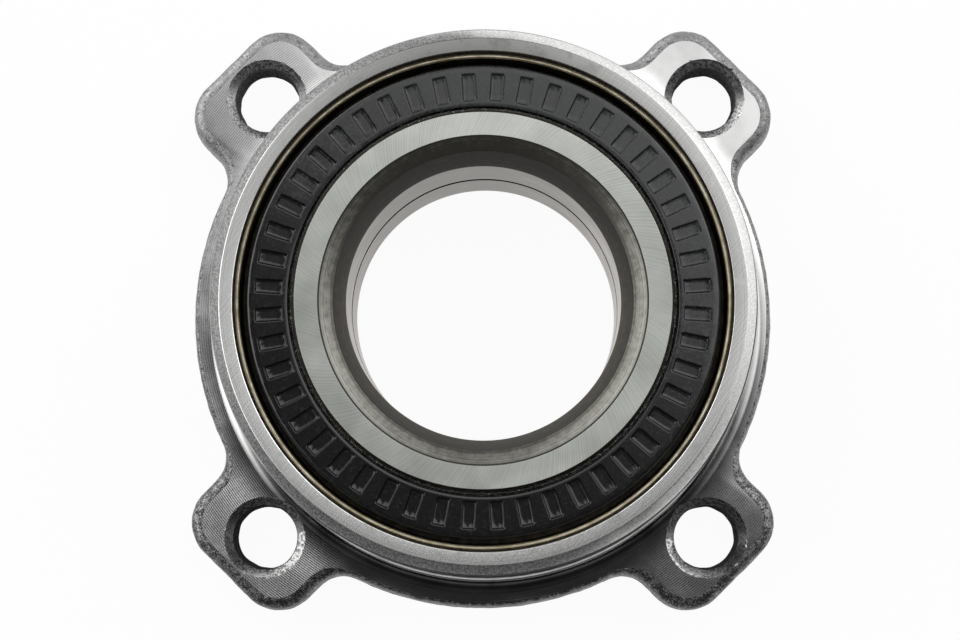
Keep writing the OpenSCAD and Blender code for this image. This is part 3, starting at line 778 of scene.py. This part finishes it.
pockets = 48
sector = 2 * math.pi / pockets
ring_in, ring_out, ring_foot, ring_top, skirt_z = 34.45, 41.7, 37.9, 39.8, 37.3
pocket_in, pocket_out, pocket_half, pocket_deep = 35.4, 40.3, 1.225, 0.45
corner_r, wall_out, wall_run = 0.3, 0.08, 0.34
lines = [-0.24, -0.12, -0.05, 0.02, 0.1, 0.2, 0.32]
across = [-pocket_half + d for d in lines] + [-0.55, 0, 0.55] + [pocket_half - d for d in reversed(lines)]
along = [pocket_in + d for d in lines] + [36.6, 37.9, 39.1] + [pocket_out - d for d in reversed(lines)]
radii = [ring_in, ring_in + 0.05, ring_in + 0.12, ring_in + 0.25] + along
radii += [ring_out - 0.45, ring_out - 0.3, ring_out - 0.15, ring_out - 0.05, ring_out]
heights = [ring_top - 0.25, ring_top - 0.12, ring_top - 0.03] + [ring_top] * (len(along) + 2)
heights += [ring_top - 0.04, ring_top - 0.12, ring_top - 0.27, ring_top - 0.45]
# The pocket is a rounded rectangle in plan, with its walls sloped by wall_run
rows_of_points = []
for r, z in zip(radii, heights):
    row = [(r * math.cos(-sector / 2), r * math.sin(-sector / 2), z)]
    for y in across:
        dx = abs(r - (pocket_in + pocket_out) / 2) - (pocket_out - pocket_in) / 2 + corner_r
        dy = abs(y) - pocket_half + corner_r
        gap = math.hypot(max(dx, 0), max(dy, 0)) + min(max(dx, dy), 0) - corner_r
        share = max(0, min(1, (wall_out - gap) / wall_run))
        drop = pocket_deep * share * share * (3 - 2 * share)
        row.append((math.sqrt(r * r - y * y), y, z - drop))
    row.append((r * math.cos(sector / 2), r * math.sin(sector / 2), z))
    rows_of_points.append(row)
for r, z in ((ring_out, skirt_z), (41.27, skirt_z), (41.26, ring_foot), (ring_in, ring_foot)):
    rows_of_points.append([(r * math.cos(t), r * math.sin(t), z) for t in
                           [-sector / 2] + [math.asin(y / r) for y in across] + [sector / 2]])
wide = len(across) + 2
faces = []
for i in range(len(rows_of_points)):
    after = (i + 1) % len(rows_of_points)
    for j in range(wide - 1):
        faces.append((i * wide + j, after * wide + j, after * wide + j + 1, i * wide + j + 1))
points = np.array([p for row in rows_of_points for p in row])
c, s = math.cos(sector / 2), math.sin(sector / 2)
encoder = link("encoder", points @ np.array([[c, s, 0], [-s, c, 0], [0, 0, 1]]), faces)
tree, keys, add = node_tree("encoder sectors", (("Sector", "Geometry"), ("Count", "Int"), ("Weld", "Float"),
                                                ("Rubber", "Material")))
given = add("NodeGroupInput")
places = add("GeometryNodeMeshLine", {"Count": given["Count"], "Offset": (0, 0, 0)})
index = add("GeometryNodeInputIndex")
share = add("ShaderNodeMath", {0: index[0], 1: given["Count"]}, operation="DIVIDE")
angle = add("ShaderNodeMath", {0: share[0], 1: 2 * math.pi}, operation="MULTIPLY")
turn = add("ShaderNodeCombineXYZ", {"Z": angle[0]})
copies = add("GeometryNodeInstanceOnPoints", {"Points": places[0], "Instance": given["Sector"],
                                              "Rotation": turn[0]})
real = add("GeometryNodeRealizeInstances", {0: copies[0]})
merged = add("GeometryNodeMergeByDistance", {"Geometry": real[0], "Distance": given["Weld"]})
skinned = add("GeometryNodeSetMaterial", {"Geometry": merged[0], "Material": given["Rubber"]})
add("NodeGroupOutput", {0: skinned[0]})
grow(encoder, tree, keys, {"Count": pockets, "Weld": 2e-6, "Rubber": moulded})
encoder.data.shade_smooth()
settle(encoder, 40)
wear(encoder, "inner", "encoder_rubber", "encoder_ring")


# Grease: a bead pressed out between the encoder and the inner ring, black with wear
greasy, shader, place = finish("grease", 0.0, 0.12)
lumps = place.grain(0.7, 3, 0.6)
specks = place.grain(0.3, 2, 0.6).rise(0.58, 0.68)
black = lumps.mix((0.004, 0.004, 0.003), (0.020, 0.018, 0.014))
dress(shader, specks.mix(black, (0.42, 0.43, 0.44)), 0.1 + lumps * 0.2,
      lumps + specks * 0.3, 0.25, specks * 0.9)
around_bead, across_bead = 720, 10
bead_r, bead_z, bead_half, bead_top, bead_low = 33.98, 38.55, 0.42, 0.45, 0.6
points, faces = [], []
for j in range(around_bead):
    a = 2 * math.pi * j / around_bead
    spot = Vector((math.cos(a), math.sin(a), 0.3)) * 34
    swell = 0.8 + 0.5 * noise.noise(spot / 3.1) + 0.3 * noise.noise(spot / 1.1)
    for k in range(across_bead):
        b = 2 * math.pi * k / across_bead
        r = bead_r + bead_half * math.cos(b)
        tall = bead_top * swell if math.sin(b) > 0 else bead_low
        points.append((r * math.cos(a), r * math.sin(a), bead_z + tall * math.sin(b)))
        here, after, beside = j * across_bead, (j + 1) % around_bead * across_bead, (k + 1) % across_bead
        faces.append((here + k, after + k, after + beside, here + beside))
wear(piece("grease", points, faces, [greasy]), "inner", "seal_rubber")


# Rubber lips of both seals: bonded on the case's web, under the slinger's disc
lip_rubber, shader, place = finish("lip rubber", 0.0, 0.5)
grease = place.grain(1.4, 3, 0.6)
dress(shader, grease.rise(0.4, 0.7).mix((0.02, 0.02, 0.02), (0.05, 0.045, 0.035)),
      0.55 - grease * 0.3, grease, 0.05)

# Balls: through-hardened steel, lapped to a mirror
mirror, shader, place = finish("lapped ball", 1.0)
haze = place.grain(2.5, 3)
dress(shader, haze.mix((0.70, 0.70, 0.69), (0.80, 0.80, 0.79)), haze * 0.06 + 0.05)

# Cages: glass-filled polymer, moulded, with the balls snapped in
polymer, shader, place = finish("cage polymer", 0.0, 0.5)
fibres = place.grain(0.4, 3, 0.7)
dress(shader, fibres.mix((0.10, 0.11, 0.055), (0.17, 0.18, 0.10)), 0.42 + fibres * 0.2, fibres, 0.02)

# Snap ring over the split
sprung, shader, place = finish("spring sheet", 1.0)
roll = place.grain(0.9, 3)
dress(shader, roll.mix((0.30, 0.30, 0.31), (0.42, 0.42, 0.42)), 0.3 + roll * 0.15, roll, 0.01)

for name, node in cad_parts.items():
    wearing = (mirror if "ball" in name else polymer if "cage" in name else lip_rubber if "lips" in name
               else sprung if "clip" in name else None)
    if wearing:
        node.data.materials.clear()
        node.data.materials.append(wearing)


# Floor: a pale table that the unit lies on, outboard face down. The camera sees it as white, with a
# little of the unit's shadow.
table = bpy.data.materials.new("table")
table.use_nodes = True
reach, floor_z = 3000, rear_z - 0.02
floor = link("floor", [(-reach, -reach, floor_z), (reach, -reach, floor_z), (reach, reach, floor_z),
                       (-reach, reach, floor_z)], [(0, 1, 2, 3)], [table])
shader = table.node_tree.nodes["Principled BSDF"]
shader.inputs["Base Color"].default_value = (0.85, 0.85, 0.85, 1)
shader.inputs["Roughness"].default_value = 0.8
ray = Field(table.node_tree)
camera_ray = ray.node("LightPath", {}, {}, "Is Camera Ray")
seen = camera_ray.math("MAXIMUM", camera_ray, Field(table.node_tree, ray.outputs["Is Glossy Ray"]))
seen = camera_ray.math("MAXIMUM", seen, Field(table.node_tree, ray.outputs["Is Transmission Ray"])) * 0.95
white = ray.node("Emission", {}, {"Color": (1, 1, 1, 1), "Strength": 1.0})
mixed = ray.node("MixShader", {}, {0: seen, 1: Field(table.node_tree, shader.outputs[0]), 2: white})
table.node_tree.links.new(mixed.socket, table.node_tree.nodes["Material Output"].inputs[0])

# Light: a studio with one large soft light at the upper right, a smaller one at the left, and dark below
world = bpy.data.worlds.new("studio")
world.use_nodes = True
bpy.context.scene.world = world
sky = Field(world.node_tree)
dx, dy, dz = sky.node("TexCoord", {}, {}, "Generated").parts()
key = (dy + dx * (dz * 0.25 + 0.25)).rise(0.06, 0.15)
key = key * (1 - (dy - dx * 0.8).rise(0.15, 0.7) * dz.rise(0.1, 0.4) * 0.85)
key = key * (1 - dx.rise(0.3, 0.8) * 0.35)
fill = (0 - dx).rise(0.22, 0.55) * dz.rise(-0.1, 0.3) * (dy + 0.5).rise(0, 0.4)
dark = 0.12
back = world.node_tree.nodes["Background"]
world.node_tree.links.new((key * 1.6 + fill * 2.3 + dark).socket, back.inputs["Strength"])
back.inputs["Color"].default_value = (1, 1, 1, 1)

lamp = bpy.data.lights.new("soft light", "AREA")
lamp.size, lamp.energy = 0.7, 3
lamp_object = bpy.data.objects.new("soft light", lamp)
lamp_object.location = (0.95, 0.6, 0.9)
lamp_object.rotation_mode = "QUATERNION"
lamp_object.rotation_quaternion = (-Vector(lamp_object.location)).to_track_quat("-Z", "Y")
lamp_object.visible_camera = False
bpy.context.collection.objects.link(lamp_object)

# Camera: above the inboard side, a little below the axis, as in the photograph
lens = bpy.data.cameras.new("camera")
lens.lens, lens.sensor_width = 108.75, 36
lens.clip_start, lens.clip_end = 0.01, 20
camera = bpy.data.objects.new("camera", lens)
camera.location = (0.0055, -0.0406, 0.5487)
camera.rotation_euler = (math.radians(4.17), math.radians(0.68), 0)
bpy.context.collection.objects.link(camera)
bpy.context.scene.camera = camera
bpy.context.scene.view_settings.view_transform = "Standard"
